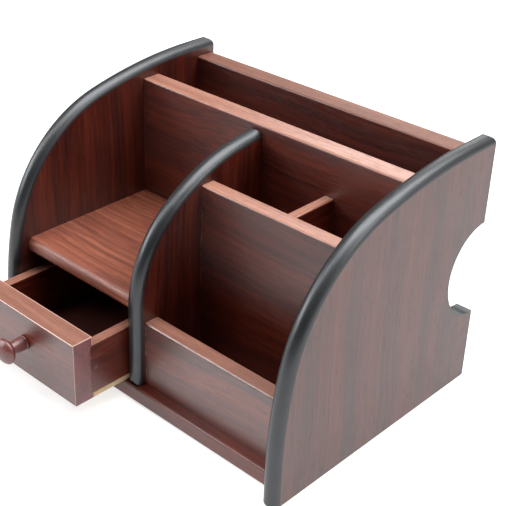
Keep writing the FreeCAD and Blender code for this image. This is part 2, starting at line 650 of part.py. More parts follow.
def brad(x, y, z, direction, length, fit):
    """Thin nail with a small head flush at the start point, grown by a fit all round."""
    head = rod(BRAD_HEAD_R + fit, (x, y, z), direction, BRAD_HEAD_H + fit)
    return head.fuse(rod(BRAD_R + fit, (x, y, z), direction, length + fit)).removeSplitter()


def corner_brad(x, inward, fit):
    """Nail that slants from a drawer side forwards into the front, its head flush in the side."""
    y = DRAWER_FRONT_BACK_Y + CORNER_BRAD_SETBACK
    z = (DRAWER_WALL_Z + DRAWER_WALL_TOP_Z) / 2
    slant = math.radians(CORNER_BRAD_DEG)
    direction = FreeCAD.Vector(inward * math.cos(slant), -math.sin(slant), 0)
    start = FreeCAD.Vector(x, y, z) - direction * BRAD_HEAD_R
    length = CORNER_BRAD_LENGTH + BRAD_HEAD_R + fit
    shank = rod(BRAD_R + fit, (start.x, start.y, start.z), direction, length)
    head = rod(BRAD_HEAD_R + fit, (x, y, z), X_AXIS * inward, BRAD_HEAD_H + fit)
    low_x, high_x = sorted((x, x + inward * CORNER_BRAD_LENGTH))
    inside = block(low_x, high_x, y - CORNER_BRAD_LENGTH, y + CORNER_BRAD_LENGTH, DRAWER_WALL_Z,
                   DRAWER_WALL_TOP_Z)
    return head.fuse(shank).common(inside).removeSplitter()


def drawer_brads(fit):
    """One slanted brad into the front and two straight ones into the back, on each side."""
    brads = []
    for x, inward in ((DRAWER_LEFT_X, 1), (DRAWER_RIGHT_X, -1)):
        brads.append(corner_brad(x, inward, fit))
        for z in (DRAWER_WALL_Z + BRAD_END_MARGIN, DRAWER_BACK_TOP_Z - BRAD_END_MARGIN):
            brads.append(brad(x, DRAWER_BACK_Y + DRAWER_WALL_T / 2, z, X_AXIS * inward, BRAD_LENGTH, fit))
    return brads


def bottom_tacks(fit):
    """Tacks up through the drawer bottom into the side and back boards."""
    middle = DRAWER_WALL_T / 2
    first_y = DRAWER_FRONT_BACK_Y + DOWEL_END_MARGIN
    last_y = DRAWER_BACK_Y - DOWEL_END_MARGIN
    places = []
    for x in (DRAWER_LEFT_X + middle, DRAWER_RIGHT_X - middle):
        for i in range(TACKS_PER_SIDE):
            places.append((x, first_y + (last_y - first_y) * i / (TACKS_PER_SIDE - 1)))
    for x in (DRAWER_CENTER_X - DOWEL_END_MARGIN, DRAWER_CENTER_X + DOWEL_END_MARGIN):
        places.append((x, DRAWER_BACK_Y + middle))
    return [brad(x, y, DRAWER_BOTTOM_Z, Z_AXIS, TACK_LENGTH, fit) for x, y in places]


def knob_screw():
    """Pan-head screw from inside the drawer through its front into the knob."""
    back = FreeCAD.Vector(DRAWER_CENTER_X, DRAWER_FRONT_BACK_Y, KNOB_Z)
    tip_y = DRAWER_FACE_Y - KNOB_SCREW_BITE
    shank = rod(KNOB_SCREW_R, (back.x, tip_y, back.z), Y_AXIS, back.y - tip_y + KNOB_SCREW_HEAD_H / 2)
    head = rod(KNOB_SCREW_HEAD_R, (back.x, back.y, back.z), Y_AXIS, KNOB_SCREW_HEAD_H)
    crown_y = back.y + KNOB_SCREW_HEAD_H
    head = round_edges(head, KNOB_SCREW_HEAD_H / 2, lambda x, y, z: near(y, crown_y))
    recess = cross_recess(0, 0, 0)
    recess.rotate(FreeCAD.Vector(0, 0, 0), X_AXIS, 90)
    recess.translate(FreeCAD.Vector(back.x, crown_y, back.z))
    return head.fuse(shank).removeSplitter().cut(recess)


# ---------------------------------------------------------------- assembly
def drilled(shape, cutters):
    """A board with every hole that reaches it cut out."""
    box = shape.BoundBox
    near_cutters = [cutter for cutter in cutters if box.intersect(cutter.BoundBox)]
    return shape.cut(near_cutters) if near_cutters else shape


def build_stand():
    """Every fixed piece of the stand, by node name."""
    left_center = LEFT_OUTER_X + PANEL_T / 2
    right_center = RIGHT_OUTER_X - PANEL_T / 2
    left_edging = side_edging(left_center)
    right_edging = side_edging(right_center)
    left_dowels = left_dowel_list()
    right_dowels = right_dowel_list()
    divider_dowels = divider_dowel_list()
    rear_dowels = rear_joint_dowel_list()
    cutters = pin_holes(left_dowels + right_dowels + divider_dowels + rear_dowels)
    cutters += [base_screw(x, y, FASTENER_FIT) for x, y in base_screw_places()]
    boards = {
        "left_panel": side_panel(LEFT_OUTER_X),
        "right_panel": side_panel(RIGHT_INNER_X),
        "middle_divider": middle_divider(),
        "base_board": base_board(),
        "back_rail": back_rail(),
        "tall_partition": tall_partition(),
        "rear_tray_floor": rear_tray_floor(),
        "pen_partition": pen_partition(),
        "pen_slot_divider": pen_slot_divider(),
        "front_board": front_board(),
        "drawer_shelf": drawer_shelf(),
    }
    pieces = {name: drilled(board, cutters) for name, board in boards.items()}
    pieces["left_edging"] = left_edging
    pieces["right_edging"] = right_edging
    pieces["divider_edging"] = divider_edging()
    pieces["left_rear_band"] = rear_band(LEFT_OUTER_X, left_edging)
    pieces["right_rear_band"] = rear_band(RIGHT_INNER_X, right_edging)
    pieces["left_dowels"] = group(pins(left_dowels))
    pieces["right_dowels"] = group(pins(right_dowels))
    pieces["divider_dowels"] = group(pins(divider_dowels))
    pieces["rear_joint_dowels"] = group(pins(rear_dowels))
    pieces["base_screws"] = group([base_screw(x, y, 0).cut(cross_recess(x, y, BASE_LIFT))
                                   for x, y in base_screw_places()])
    return pieces


def build_drawer():
    """Every piece that slides with the drawer, by node name."""
    cutters = drawer_brads(FASTENER_FIT) + bottom_tacks(FASTENER_FIT)
    boards = {
        "drawer_front": drawer_front(),
        "drawer_left_side": drawer_side(DRAWER_LEFT_X),
        "drawer_right_side": drawer_side(DRAWER_RIGHT_X - DRAWER_WALL_T),
        "drawer_back": drawer_back(),
        "drawer_bottom": drawer_bottom(),
    }
    pieces = {name: drilled(board, cutters) for name, board in boards.items()}
    pieces["drawer_knob"] = drawer_knob()
    pieces["knob_screw"] = knob_screw()
    pieces["drawer_brads"] = group(drawer_brads(0))
    pieces["drawer_bottom_tacks"] = group(bottom_tacks(0))
    return pieces


def main():
    os.makedirs("parts", exist_ok=True)
    pieces = build_stand()
    pieces.update(build_drawer())
    for name, shape in pieces.items():
        save(name, shape)
        solids = len(shape.Solids)
        print(name, "solids", solids, "volume", round(shape.Volume, 1), "valid", shape.isValid())
    print("origin is", round(STAND_CENTER_Y, 3), "mm behind the side panels' front edge")


main()
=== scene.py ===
"""Dresses the desk organiser: board by board finishes, the studio around it and the camera."""

import logging
from dataclasses import dataclass, field
from enum import Enum
from math import cos, radians, sin, tau
from typing import Any, Sequence

import bpy
import numpy as np
from mathutils import Matrix, Vector

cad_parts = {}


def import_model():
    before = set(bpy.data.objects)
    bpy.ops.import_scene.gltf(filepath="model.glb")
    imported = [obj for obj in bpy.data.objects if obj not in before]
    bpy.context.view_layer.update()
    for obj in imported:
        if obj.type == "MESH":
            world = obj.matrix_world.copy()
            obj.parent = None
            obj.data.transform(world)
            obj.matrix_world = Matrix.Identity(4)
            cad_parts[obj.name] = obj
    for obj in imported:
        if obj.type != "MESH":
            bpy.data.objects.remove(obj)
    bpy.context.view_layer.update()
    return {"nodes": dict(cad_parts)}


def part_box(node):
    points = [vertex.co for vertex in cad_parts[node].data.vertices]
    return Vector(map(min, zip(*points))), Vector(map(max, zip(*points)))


LOG = logging.getLogger("organiser")

MM = 0.001

# The Mix node's sockets for colours. Those for numbers and vectors have the same names.
MIX_FIRST = 6
MIX_SECOND = 7
MIX_RESULT = 2

Socket = bpy.types.NodeSocket
Colour = tuple[float, float, float]
Triple = tuple[float, float, float]
Span = tuple[float, float]
Stops = Sequence[tuple[float, Colour]]


class Grain(Enum):
    """The direction that a board's grain runs along."""

    ACROSS = 0
    DEPTH = 1
    UPRIGHT = 2

    def stretch(self, along: float, across: float) -> Triple:
        """Returns a scale with one factor along the grain and another across it."""
        return tuple(along if axis == self.value else across for axis in range(3))


class Side(Enum):
    """A side of a board, as its axis and whether it is the high one."""

    LEFT = (0, False)
    RIGHT = (0, True)
    TOP = (2, True)


class Graph:
    """A material's node tree, built up one step at a time."""

    def __init__(self, name: str) -> None:
        """Starts an empty material.

        Args:
            name: The material's name.
        """
        self.material = bpy.data.materials.new(name)
        self.material.use_nodes = True
        self.tree = self.material.node_tree
        self.tree.nodes.clear()
        self._place: Socket | None = None
        self._parts: tuple[Socket, Socket, Socket] | None = None

    def node(self, kind: str, **settings: Any) -> bpy.types.Node:
        """Adds one node.

        Args:
            kind: The node's type, without its ShaderNode prefix.
            settings: Properties to set on it.

        Returns:
            The new node.
        """
        node = self.tree.nodes.new("ShaderNode" + kind)
        for key, value in settings.items():
            setattr(node, key, value)
        return node

    def feed(self, target: Socket, value: Any) -> None:
        """Links a socket to the target, or sets a plain value on it.

        Args:
            target: The input socket.
            value: Another socket, a number, or a colour or vector.
        """
        if isinstance(value, bpy.types.NodeSocket):
            self.tree.links.new(value, target)
        elif isinstance(value, (int, float)) or len(value) == len(target.default_value):
            target.default_value = value
        else:
            target.default_value = (*value, 1.0)

    def place(self) -> Socket:
        """Gives the object coordinates.

        Returns:
            The coordinates, in metres.
        """
        if self._place is None:
            self._place = self.node("TexCoord").outputs["Object"]
        return self._place

    def part(self, axis: int) -> Socket:
        """Gives one object coordinate.

        Args:
            axis: 0, 1 or 2 for X, Y or Z.

        Returns:
            The coordinate, in metres.
        """
        if self._parts is None:
            split = self.node("SeparateXYZ")
            self.feed(split.inputs[0], self.place())
            self._parts = tuple(split.outputs)
        return self._parts[axis]

    def math(self, operation: str, *values: Any) -> Socket:
        """Adds a Math node.

        Args:
            operation: The node's operation.
            values: Its inputs, in order.

        Returns:
            The result.
        """
        node = self.node("Math", operation=operation)
        for target, value in zip(node.inputs, values):
            self.feed(target, value)
        return node.outputs[0]

    def rise(self, value: Socket, start: float, end: float) -> Socket:
        """Adds a smooth step.

        Args:
            value: The number to test.
            start: Where the step begins.
            end: Where it ends, which may lie below its start.

        Returns:
            0 where the value is at start, 1 where it is at end.
        """
        node = self.node("MapRange", interpolation_type="SMOOTHSTEP")
        for name, number in {"Value": value, "From Min": start, "From Max": end}.items():
            self.feed(node.inputs[name], number)
        return node.outputs[0]

    def spread(self, value: Socket, low: float, high: float) -> Socket:
        """Stretches a 0 to 1 value over another range.

        Args:
            value: The number to stretch.
            low: The result at 0.
            high: The result at 1.

        Returns:
            The stretched value.
        """
        node = self.node("MapRange")
        for name, number in {"Value": value, "To Min": low, "To Max": high}.items():
            self.feed(node.inputs[name], number)
        return node.outputs[0]

    def scaled(self, vector: Socket, scale: Triple, shift: Triple = (0, 0, 0)) -> Socket:
        """Stretches coordinates along each axis and then moves them.

        Args:
            vector: The coordinates.
            scale: The factor on each axis.
            shift: The move, in the stretched coordinates.

        Returns:
            The new coordinates.
        """
        node = self.node("Mapping")
        for name, value in {"Vector": vector, "Scale": scale, "Location": shift}.items():
            self.feed(node.inputs[name], value)
        return node.outputs[0]

    def evenly(self, waves: float, seed: float = 0.0) -> Socket:
        """Returns the object coordinates scaled alike on every axis and moved by the seed."""
        return self.scaled(self.place(), (waves,) * 3, (seed,) * 3)

    def noise(self, vector: Socket, detail: float = 2.0, rough: float = 0.5) -> bpy.types.Node:
        """Adds a Noise texture of one wave to a unit of its coordinates.

        Args:
            vector: The coordinates it is read at.
            detail: How many finer layers are added.
            rough: How strong the finer layers are.

        Returns:
            The texture node.
        """
        node = self.node("TexNoise")
        wanted = {"Vector": vector, "Detail": detail, "Roughness": rough, "Scale": 1.0}
        for name, value in wanted.items():
            self.feed(node.inputs[name], value)
        return node

    def mix(self, factor: Any, first: Any, second: Any) -> Socket:
        """Blends two colours.

        Args:
            factor: The second colour's share.
            first: The colour or socket at 0.
            second: The colour or socket at 1.

        Returns:
            The blend.
        """
        node = self.node("Mix", data_type="RGBA")
        self.feed(node.inputs["Factor"], factor)
        self.feed(node.inputs[MIX_FIRST], first)
        self.feed(node.inputs[MIX_SECOND], second)
        return node.outputs[MIX_RESULT]

    def ramp(self, factor: Socket, stops: Stops) -> Socket:
        """Adds a ramp of colours.

        Args:
            factor: Where on the ramp the colour is read.
            stops: Each stop's place and colour, at least two.

        Returns:
            The colour that the ramp gives.
        """
        node = self.node("ValToRGB")
        self.feed(node.inputs[0], factor)
        elements = node.color_ramp.elements
        for index, (spot, colour) in enumerate(stops):
            element = elements[index] if index < len(elements) else elements.new(spot)
            element.position = spot
            element.color = (*colour, 1.0)
        return node.outputs[0]

    def bump(self, height: Socket, depth: float, strength: float = 0.6) -> Socket:
        """Tilts the normals by a height field.

        Args:
            height: The field, 0 to 1.
            depth: How high 1 stands, in millimetres.
            strength: How much of the tilt is kept.

        Returns:
            The normals.
        """
        node = self.node("Bump")
        wanted = {"Height": height, "Distance": depth * MM, "Strength": strength}
        for name, value in wanted.items():
            self.feed(node.inputs[name], value)
        return node.outputs[0]

    def finish(self, **sockets: Any) -> bpy.types.Material:
        """Adds the shader and the output.

        Args:
            sockets: The shader's inputs, with underscores for the spaces in their names.

        Returns:
            The finished material.
        """
        shader = self.node("BsdfPrincipled")
        for name, value in sockets.items():
            self.feed(shader.inputs[name.replace("_", " ")], value)
        output = self.node("OutputMaterial")
        self.feed(output.inputs["Surface"], shader.outputs[0])
        return self.material


@dataclass(frozen=True)
class Tones:
    """The colours of one printed wood film, from its darkest line to its lightest."""

    deep: Colour
    dark: Colour
    body: Colour
    light: Colour
    spots: tuple[float, ...] = (0.18, 0.40, 0.60, 0.84)

    def stops(self) -> Stops:
        """Returns the ramp's stops for these tones."""
        return list(zip(self.spots, (self.deep, self.dark, self.body, self.light)))


MAHOGANY = Tones(
    (0.034, 0.0026, 0.0005), (0.067, 0.0058, 0.0012),
    (0.099, 0.0104, 0.0022), (0.142, 0.019, 0.0050),
)
# A darker copy of the mahogany film: painted shade on the boards dressed in it.
SHADED_MAHOGANY = Tones(
    (0.020, 0.0014, 0.0003), (0.040, 0.0032, 0.0007),
    (0.062, 0.0060, 0.0014), (0.095, 0.012, 0.0032),
)
# A lighter, warmer copy of the mahogany film: painted light on the shelf's upward face.
LIT_MAHOGANY = Tones(
    (0.104, 0.019, 0.0070), (0.148, 0.032, 0.013),
    (0.194, 0.048, 0.021), (0.255, 0.075, 0.036),
)
# Tones for the strips along the boards' tops: partly the lighter cut edges, partly painted light
# from above. The half lit and shaded sets paint less light on tops that get less.
LIT_EDGE_STRIP = Tones(
    (0.235, 0.097, 0.062), (0.280, 0.122, 0.082),
    (0.325, 0.148, 0.101), (0.375, 0.178, 0.125),
)
HALF_LIT_EDGE_STRIP = Tones(
    (0.180, 0.071, 0.046), (0.215, 0.088, 0.059),
    (0.255, 0.108, 0.074), (0.300, 0.132, 0.092),
)
SHADED_EDGE_STRIP = Tones(
    (0.095, 0.027, 0.012), (0.117, 0.035, 0.016),
    (0.140, 0.044, 0.021), (0.170, 0.057, 0.030),
)
MAUVE_STRIP = Tones(
    (0.088, 0.015, 0.016), (0.116, 0.021, 0.022),
    (0.144, 0.028, 0.030), (0.178, 0.039, 0.041),
)


@dataclass(frozen=True)
class Layer:
    """One layer of noise in a board's grain.

    Attributes:
        along: Waves to a metre along the grain.
        across: Waves to a metre across it.
        detail: How many finer layers it has.
        rough: How strong the finer layers are.
    """

    along: float
    across: float
    detail: float
    rough: float


BROAD_BANDS = Layer(2.5, 60.0, 3.0, 0.55)
GROWTH_LINES = Layer(4.0, 420.0, 2.0, 0.6)
FINE_STREAKS = Layer(20.0, 1400.0, 2.0, 0.6)
SHORT_PORES = Layer(150.0, 3200.0, 0.0, 0.5)


@dataclass(frozen=True)
class FilmMarks:
    """What the printed film has alike on every board.

    Attributes:
        line_share: The growth lines' share of the tone.
        streak_share: The fine streaks' share of the tone.
        seed_steps: How far a board's seed moves its grain on each axis.
        sweep_waves: Waves to a metre of the grain's slow sweep.
        sweep_reach: How far that sweep carries the grain sideways, in metres.
        pore_span: The noise where a pore begins, and where it is at full strength.
        pore_tone: The pores' colour.
        pore_share: How strong that colour is.
        pore_dullness: How much rougher a pore is than the film.
        pore_drop: A pore's depth, against the height of the streaks.
        handled_waves: Waves to a metre of the patches that handling leaves.
        handled_spread: How far those patches differ in roughness.
        corner_width: Half the width of the worn line on a corner, in millimetres.
        corner_core: The share of that width at full strength.
        corner_waves: Waves to a metre of the gaps in that line.
        gap_softness: How softly a gap begins.
        dust_waves: Specks of dust to a metre.
        dust_span: A speck's radius where it begins, and where it is at full strength.
        dust_tone: The specks' colour.
        dust_share: How strong that colour is.
        relief: The height of the streaks, in millimetres.
    """

    line_share: float = 0.46
    streak_share: float = 0.34
    seed_steps: Triple = (3.1, 5.7, 1.9)
    sweep_waves: float = 8.0
    sweep_reach: float = 0.016
    pore_span: Span = (0.40, 0.30)
    pore_tone: Colour = (0.022, 0.005, 0.003)
    pore_share: float = 0.30
    pore_dullness: float = 0.12
    pore_drop: float = 0.7
    handled_waves: float = 34.0
    handled_spread: float = 0.14
    corner_width: float = 0.5
    corner_core: float = 0.35
    corner_waves: float = 420.0
    gap_softness: float = 0.10
    dust_waves: float = 62.0
    dust_span: Span = (0.024, 0.014)
    dust_tone: Colour = (0.52, 0.36, 0.27)
    dust_share: float = 0.75
    relief: float = 0.04


MARKS = FilmMarks()


@dataclass(frozen=True)
class Strip:
    """A layer of a board next to one of its sides, in tones of its own; on a top face these tones
    are partly painted light.

    Attributes:
        side: The side.
        depth: The layer's depth, in millimetres.
        tones: Its colours.
        rough: Its roughness.
        soft: How far its inner limit fades to either side, in millimetres.
    """

    side: Side
    depth: float
    tones: Tones = LIT_EDGE_STRIP
    rough: float = 0.32
    soft: float = 0.12


@dataclass(frozen=True)
class Laminate:
    """Satin printed mahogany film on a board, with lighter strips on its narrow edges; those on its
    top are partly painted light.

    The grain is noise stretched along the grain's direction: broad bands, growth lines with a
    slow sweep, fine streaks and short pores. Wear is a broken line where two sides of the board
    meet.

    Attributes:
        board: The piece's name.
        grain: The direction of its grain.
        seed: What sets its figure apart from the other boards'.
        tones: The film's colours.
        strips: The layers along its narrow edges.
        wear: How strong the worn line on its corners is.
        worn: That line's colour.
        gaps: The noise below which that line is broken.
        sweep: How far its grain wanders, against the usual reach.
        contrast: How far its dark and light lines stand apart.
        rough: The film's roughness.
        bands: The broad bands' share of the tone.
        ior: The film's index of refraction, higher where it mirrors more.
    """

    board: str
    grain: Grain
    seed: float
    tones: Tones = MAHOGANY
    strips: tuple[Strip, ...] = ()
    wear: float = 0.15
    worn: Colour = (0.60, 0.40, 0.28)
    gaps: float = 0.46
    sweep: float = 1.0
    contrast: float = 2.3
    rough: float = 0.36
    bands: float = 0.52
    ior: float = 1.70

    def _bent(self, graph: Graph) -> Socket:
        """Adds coordinates that wander across the grain by a few millimetres.

        They are the object coordinates plus slow noise about zero times the sweep's reach.

        Args:
            graph: The material being built.

        Returns:
            The bent coordinates.
        """
        slow = graph.evenly(MARKS.sweep_waves, self.seed)
        drift = graph.node("VectorMath", operation="SUBTRACT")
        graph.feed(drift.inputs[0], graph.noise(slow, 1.0).outputs["Color"])
        graph.feed(drift.inputs[1], (0.5, 0.5, 0.5))
        added = graph.node("VectorMath", operation="MULTIPLY_ADD")
        graph.feed(added.inputs[0], drift.outputs[0])
        graph.feed(added.inputs[1], self.grain.stretch(0.0, MARKS.sweep_reach * self.sweep))
        graph.feed(added.inputs[2], graph.place())
        return added.outputs[0]

    def _layer(self, graph: Graph, place: Socket, layer: Layer) -> Socket:
        """Adds one layer of the grain.

        Args:
            graph: The material being built.
            place: The coordinates that the layer follows.
            layer: Its waves.

        Returns:
            The layer's noise, 0 to 1.
        """
        shift = tuple(self.seed * step for step in MARKS.seed_steps)
        scale = self.grain.stretch(layer.along, layer.across)
        return graph.noise(graph.scaled(place, scale, shift), layer.detail, layer.rough).outputs[0]

    def _figure(self, graph: Graph) -> tuple[Socket, Socket, Socket]:
        """Builds the grain.

        The tone is the sum of the layers by their shares, less half of all the shares, times the
        contrast, plus a half.

        Args:
            graph: The material being built.

        Returns:
            The tone, 0 dark to 1 light, the fine streaks and the pores.
        """
        bent = self._bent(graph)
        bands = self._layer(graph, bent, BROAD_BANDS)
        lines = self._layer(graph, bent, GROWTH_LINES)
        streaks = self._layer(graph, bent, FINE_STREAKS)
        pores = self._layer(graph, graph.place(), SHORT_PORES)
        tone = graph.math("MULTIPLY", bands, self.bands)
        tone = graph.math("MULTIPLY_ADD", lines, MARKS.line_share, tone)
        tone = graph.math("MULTIPLY_ADD", streaks, MARKS.streak_share, tone)
        middle = 0.5 * (self.bands + MARKS.line_share + MARKS.streak_share)
        centred = graph.math("SUBTRACT", tone, middle)
        tone = graph.math("MULTIPLY_ADD", centred, self.contrast, 0.5)
        return tone, streaks, graph.rise(pores, *MARKS.pore_span)

    def _beside(self, graph: Graph, strip: Strip) -> Socket:
        """Marks the layer of the board that a strip covers.

        Args:
            graph: The material being built.
            strip: The strip.

        Returns:
            1 within the strip's depth of its side, and 0 elsewhere.
        """
        axis, high = strip.side.value
        outward = 1.0 if high else -1.0
        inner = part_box(self.board)[1 if high else 0][axis] - outward * strip.depth * MM
        soft = outward * strip.soft * MM
        return graph.rise(graph.part(axis), inner - soft, inner + soft)

    def _corners(self, graph: Graph) -> Socket:
        """Marks the board's upright and top corners.

        The distance to a corner line is the second smallest of the distances to the nearer side
        on each axis, which is the larger of two: the smaller of the first pair, and the smaller
        of the third with the larger of the first pair. The underside doesn't count as a side.

        Args:
            graph: The material being built.

        Returns:
            1 on a corner line and 0 on the faces.
        """
        low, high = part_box(self.board)
        near = [graph.math("SUBTRACT", high[axis], graph.part(axis)) for axis in range(3)]
        for axis in (0, 1):
            other = graph.math("SUBTRACT", graph.part(axis), low[axis])
            near[axis] = graph.math("MINIMUM", near[axis], other)
        small = graph.math("MINIMUM", near[0], near[1])
        large = graph.math("MAXIMUM", near[0], near[1])
        second = graph.math("MAXIMUM", small, graph.math("MINIMUM", large, near[2]))
        width = MARKS.corner_width
        return graph.rise(second, width * MM, MARKS.corner_core * width * MM)

    def _film(self, graph: Graph, tone: Socket) -> tuple[Socket, Socket]:
        """Builds the clean film and the strips beside it.

        Args:
            graph: The material being built.
            tone: The grain's tone.

        Returns:
            The colour and the roughness.
        """
        colour = graph.ramp(tone, self.tones.stops())
        handled = graph.noise(graph.evenly(MARKS.handled_waves, self.seed), 3.0, 0.6).outputs[0]
        smoothest = self.rough - 0.5 * MARKS.handled_spread
        rough = graph.math("MULTIPLY_ADD", handled, MARKS.handled_spread, smoothest)
        for strip in self.strips:
            layer = self._beside(graph, strip)
            colour = graph.mix(layer, colour, graph.ramp(tone, strip.tones.stops()))
            rough = graph.math("MULTIPLY_ADD", layer, strip.rough - self.rough, rough)
        return colour, rough

    def _wear(self, graph: Graph, colour: Socket) -> Socket:
        """Draws the broken worn line on the corners and scatters specks of dust.

        Args:
            graph: The material being built.
            colour: The colour so far.

        Returns:
            The colour with its wear and dust.
        """
        wear_and_highlight = graph.noise(graph.evenly(MARKS.corner_waves, self.seed), 2.0).outputs[0]
        unbroken = graph.rise(wear_and_highlight, self.gaps, self.gaps + MARKS.gap_softness)
        line = graph.math("MULTIPLY", self._corners(graph), unbroken)
        colour = graph.mix(graph.math("MULTIPLY", line, self.wear), colour, self.worn)
        cells = graph.node("TexVoronoi")
        graph.feed(cells.inputs["Vector"], graph.evenly(MARKS.dust_waves, self.seed))
        dust = graph.rise(cells.outputs["Distance"], *MARKS.dust_span)
        return graph.mix(graph.math("MULTIPLY", dust, MARKS.dust_share), colour, MARKS.dust_tone)

    def material(self) -> bpy.types.Material:
        """Builds the board's material.

        Returns:
            The material.
        """
        graph = Graph(f"laminate_{self.board}")
        tone, streaks, pores = self._figure(graph)
        colour, rough = self._film(graph, tone)
        colour = graph.mix(
            graph.math("MULTIPLY", pores, MARKS.pore_share), colour, MARKS.pore_tone
        )
        return graph.finish(
            Base_Color=self._wear(graph, colour),
            Roughness=graph.math("MULTIPLY_ADD", pores, MARKS.pore_dullness, rough),
            Normal=graph.bump(
                graph.math("MULTIPLY_ADD", pores, -MARKS.pore_drop, streaks), MARKS.relief
            ),
            IOR=self.ior,
        )


@dataclass(frozen=True)
class BlackEdging:
    """Black satin plastic moulding: a little wavy, clouded, and painted grey towards its top as a
    painted highlight.

    Attributes:
        piece: The piece's name.
        seed: What sets its pattern apart from the other mouldings'.
        black: Its colours, in soft clouds.
        wear_and_highlight: The grey of the painted highlight towards the moulding's top.
        highlight_height: Where the painted highlight begins and where it is full, in metres.
        highlight_share: How strong the painted highlight is in the darkest and lightest clouds.
        highlight_dullness: How much rougher it is under the painted highlight.
        wave_count: Waves to a metre of its uneven surface.
        cloud_count: Waves to a metre of its clouds.
        skin_count: Waves to a metre of its fine skin, on each axis.
        skin_relief: The skin's height, against that of the waves.
        relief: The height of the waves, in millimetres.
        rough: Its least and most roughness.
        ior: Its index of refraction.
        tint: The colour of what it mirrors.
    """

    piece: str
    seed: float
    black: Stops = ((0.3, (0.0045, 0.0050, 0.0058)), (0.7, (0.0090, 0.0098, 0.0110)))
    wear_and_highlight: Colour = (0.021, 0.0215, 0.0225)
    highlight_height: Span = (0.085, 0.122)
    highlight_share: Span = (0.7, 1.0)
    highlight_dullness: float = 0.05
    wave_count: float = 52.0
    cloud_count: float = 110.0
    skin_count: Triple = (900.0, 160.0, 160.0)
    skin_relief: float = 0.05
    relief: float = 0.30
    rough: Span = (0.28, 0.42)
    ior: float = 1.66
    tint: Colour = (0.92, 0.96, 1.0)

    def material(self) -> bpy.types.Material:
        """Builds the moulding's material.

        Returns:
            The material.
        """
        graph = Graph(f"edging_{self.piece}")
        waves = graph.noise(graph.evenly(self.wave_count, self.seed), 1.0).outputs[0]
        fine = graph.scaled(graph.place(), self.skin_count, (self.seed,) * 3)
        skin = graph.noise(fine, 3.0).outputs[0]
        cloud = graph.noise(graph.evenly(self.cloud_count, self.seed), 3.0).outputs[0]
        black = graph.ramp(cloud, self.black)
        # Painted highlight: grey is laid over the black towards the moulding's top, standing in for
        # the lights' reflection on its upper slopes.
        height = graph.rise(graph.part(2), *self.highlight_height)
        painted_highlight = graph.math("MULTIPLY", height, graph.spread(cloud, *self.highlight_share))
        colour = graph.mix(painted_highlight, black, self.wear_and_highlight)
        relief = graph.math("MULTIPLY_ADD", skin, self.skin_relief, waves)
        rough = graph.spread(skin, *self.rough)
        return graph.finish(
            Base_Color=colour,
            Roughness=graph.math("MULTIPLY_ADD", painted_highlight, self.highlight_dullness, rough),
            Normal=graph.bump(relief, self.relief),
            IOR=self.ior,
            Specular_Tint=self.tint,
        )


@dataclass(frozen=True)
class PaleBoard:
    """The drawer's thin bottom: cream ply with its plies at the edges and dark film on top, set to
    the film's darkest tones as painted shade.

    The glue lines are a sine wave up through the thickness, which is faded out near both faces.

    Attributes:
        piece: The piece's name.
        cream: The bare wood's colours.
        film: The film's colours, its darkest, partly painted shade inside the drawer.
        film_depth: Where the film begins and where it is full, in millimetres from the top.
        glue: The glue lines' colour.
        glue_share: How strong that colour is.
        glue_span: The sine where a glue line begins, and where it is full.
        plies: Waves of the glue lines in the thickness.
        skin: Where the plies begin and where they are full, in millimetres from a face.
        rough: Its least and most roughness.
        relief: The height of its grain, in millimetres.
    """

    piece: str
    cream: Stops = ((0.3, (0.40, 0.25, 0.13)), (0.5, (0.56, 0.40, 0.23)), (0.7, (0.68, 0.53, 0.34)))
    film: Stops = ((0.3, MAHOGANY.deep), (0.7, MAHOGANY.dark))
    film_depth: Span = (0.30, 0.15)
    glue: Colour = (0.30, 0.17, 0.08)
    glue_share: float = 0.45
    glue_span: Span = (0.1, 0.9)
    plies: float = 3.0
    skin: Span = (0.25, 0.5)
    rough: Span = (0.55, 0.75)
    relief: float = 0.08

    def material(self) -> bpy.types.Material:
        """Builds the thin board's material.

        Returns:
            The material.
        """
        graph = Graph(f"ply_{self.piece}")
        low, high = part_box(self.piece)
        along = graph.scaled(graph.place(), Grain.ACROSS.stretch(30.0, 700.0))
        grain = graph.noise(along, 3.0, 0.6).outputs[0]
        broad = graph.scaled(graph.place(), Grain.ACROSS.stretch(4.0, 60.0))
        bands = graph.noise(broad, 2.0).outputs[0]
        tone = graph.math("MULTIPLY_ADD", bands, 0.5, graph.math("MULTIPLY", grain, 0.5))
        face = graph.ramp(tone, self.cream)
        above = graph.math("SUBTRACT", graph.part(2), low[2])
        below = graph.math("SUBTRACT", high[2], graph.part(2))
        phase = graph.math("MULTIPLY", above, tau * self.plies / (high[2] - low[2]))
        plies = graph.rise(graph.math("SINE", phase), *self.glue_span)
        begins, full = (depth * MM for depth in self.skin)
        inner = graph.math(
            "MULTIPLY", graph.rise(above, begins, full), graph.rise(below, begins, full)
        )
        shade = graph.math("MULTIPLY", graph.math("MULTIPLY", plies, inner), self.glue_share)
        colour = graph.mix(shade, face, self.glue)
        # The film on top takes the mahogany's darkest tones, partly painted shade inside the
        # drawer.
        film = graph.rise(graph.part(2), *(high[2] - depth * MM for depth in self.film_depth))
        return graph.finish(
            Base_Color=graph.mix(film, colour, graph.ramp(tone, self.film)),
            Roughness=graph.spread(grain, *self.rough),
            Normal=graph.bump(grain, self.relief),
        )


